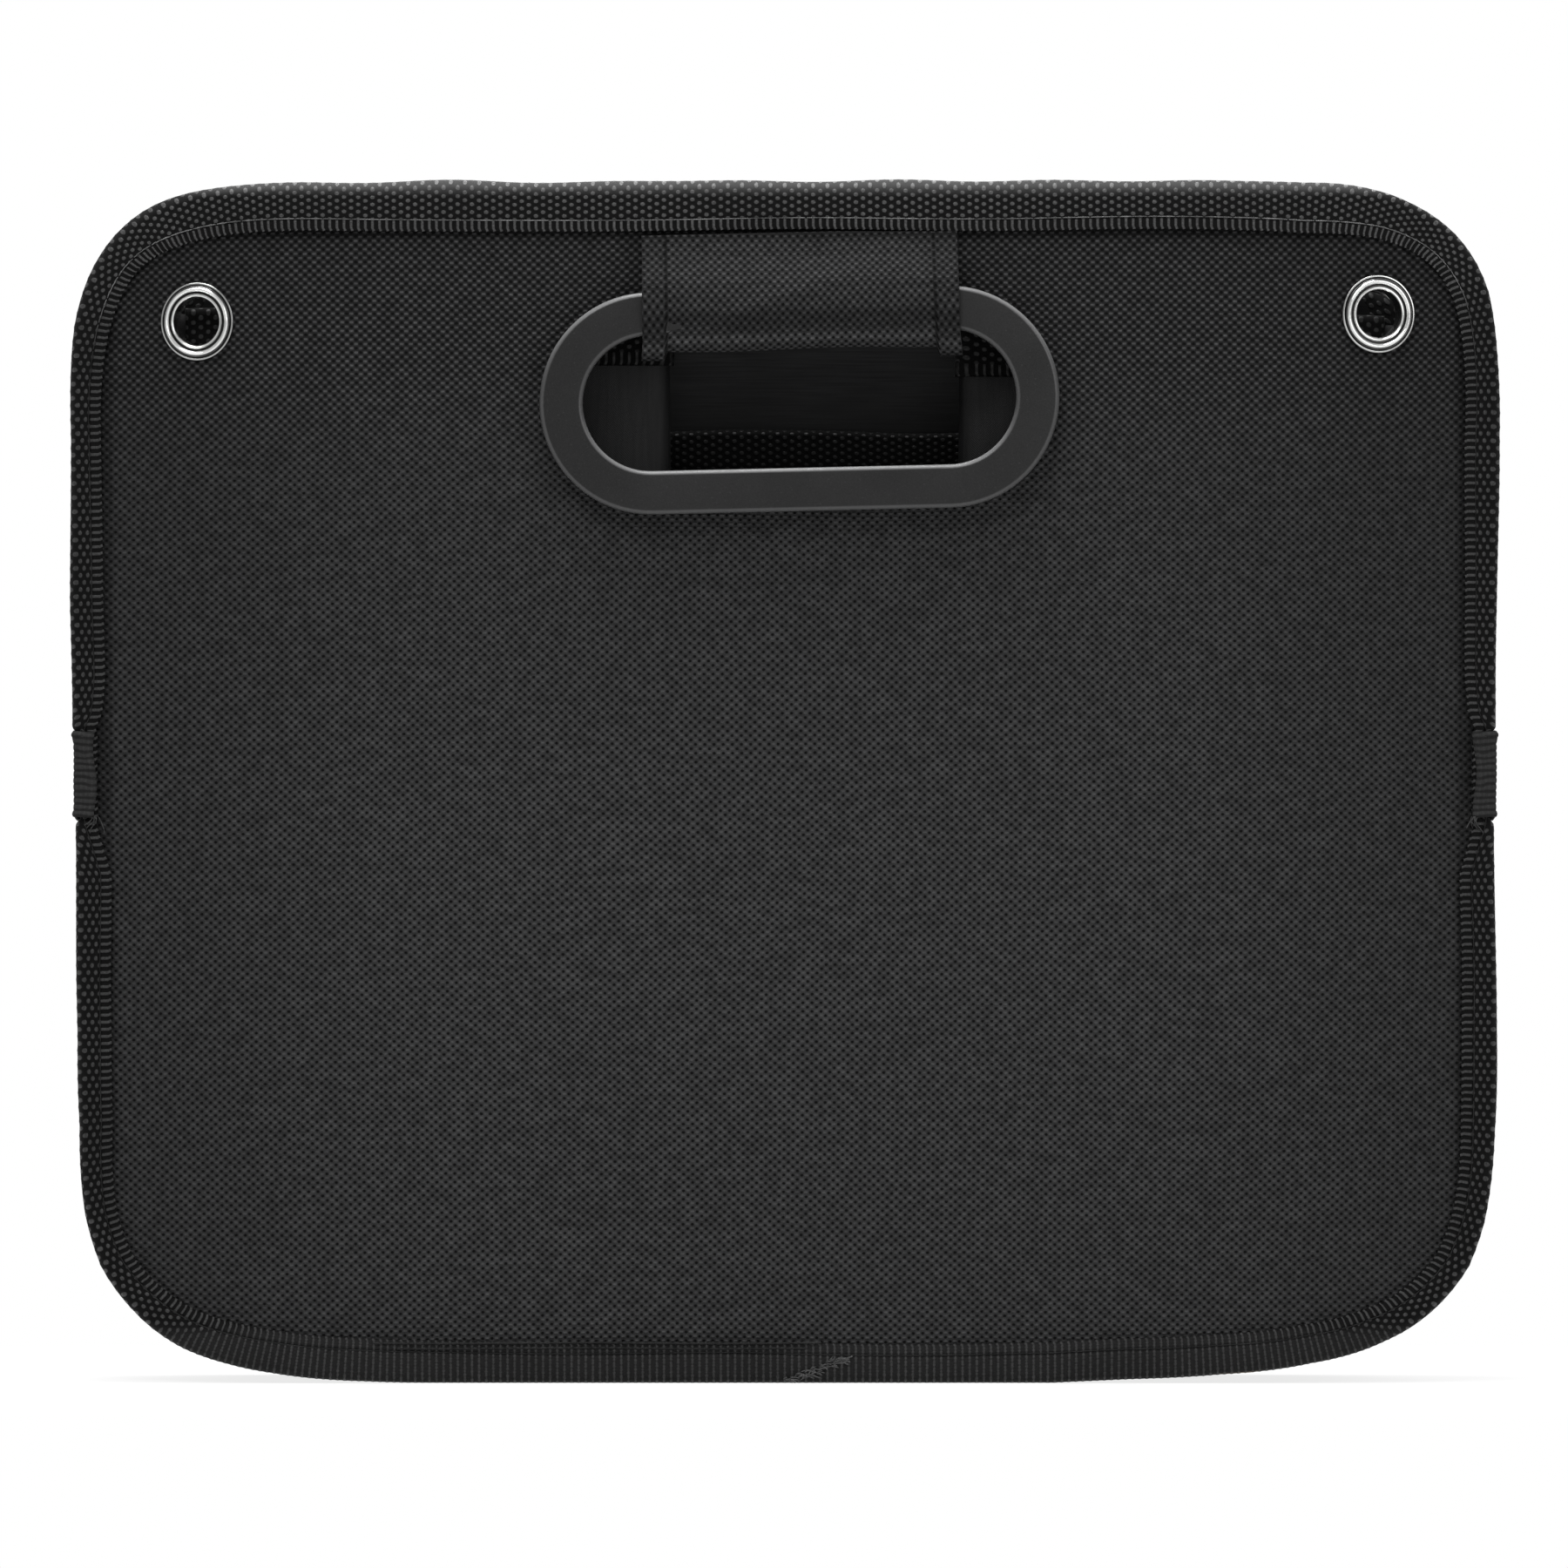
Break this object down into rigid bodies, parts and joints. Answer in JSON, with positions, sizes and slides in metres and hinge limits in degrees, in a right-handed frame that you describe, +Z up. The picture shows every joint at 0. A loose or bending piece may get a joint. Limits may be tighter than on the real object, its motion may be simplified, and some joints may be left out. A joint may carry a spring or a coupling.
{
  "type": "car trunk organizer",
  "caption": "Soft car trunk organizer, folded flat: bound fabric end panels with swinging ring handles and eyelets, pleated side walls, a divider and side straps.",
  "frame": {"origin": "on the floor, under the middle of the folded stack", "axes": "+X along the width to the right of the front panel, +Y from the front panel to the rear panel, +Z up"},
  "size_m": [0.3614, 0.0736, 0.303],
  "materials": {
    "fabric": "woven polyester, matt black",
    "tape": "coarse webbing tape, matt black",
    "coated_fabric": "smooth coated cloth, satin black",
    "board": "grey chipboard",
    "base_board": "smooth black sheet",
    "handle_plastic": "fine-grained moulding, satin black",
    "chrome": "polished",
    "hook_and_loop": "matt black pile"
  },
  "bodies": {
    "root": {"front_panel_fabric": "fabric", "front_panel_board": "board", "front_panel_lining": "coated_fabric", "front_panel_binding": "tape", "front_left_eyelet": "chrome", "front_left_eyelet_washer": "chrome", "front_right_eyelet": "chrome", "front_right_eyelet_washer": "chrome", "front_gusset": "coated_fabric", "front_left_wall_binding": "tape", "front_right_wall_binding": "tape", "divider_front_cover": "coated_fabric", "rear_panel_fabric": "fabric", "rear_panel_board": "board", "rear_panel_lining": "coated_fabric", "rear_panel_binding": "tape", "rear_left_eyelet": "chrome", "rear_left_eyelet_washer": "chrome", "rear_right_eyelet": "chrome", "rear_right_eyelet_washer": "chrome", "rear_gusset": "coated_fabric", "rear_left_wall_binding": "tape", "rear_right_wall_binding": "tape", "divider_rear_cover": "coated_fabric", "divider_board": "board", "divider_binding": "tape", "base_board_a": "base_board", "base_board_b": "base_board", "left_strap": "tape", "left_loop_patch": "hook_and_loop", "left_hook_patch": "hook_and_loop", "right_strap": "tape", "right_loop_patch": "hook_and_loop", "right_hook_patch": "hook_and_loop"},
    "front_handle": {"front_handle_ring": "handle_plastic", "front_handle_tab": "fabric"},
    "rear_handle": {"rear_handle_ring": "handle_plastic", "rear_handle_tab": "fabric"}
  },
  "joints": [
    {"name": "front_handle_swing", "type": "hinge", "parent": "root", "child": "front_handle", "pos_m": [0.0046, -0.0313, 0.2902], "axis": [-1, 0, 0], "range_deg": [0, 160]},
    {"name": "rear_handle_swing", "type": "hinge", "parent": "root", "child": "rear_handle", "pos_m": [0.0046, 0.0313, 0.2902], "axis": [1, 0, 0], "range_deg": [0, 160]}
  ]
}
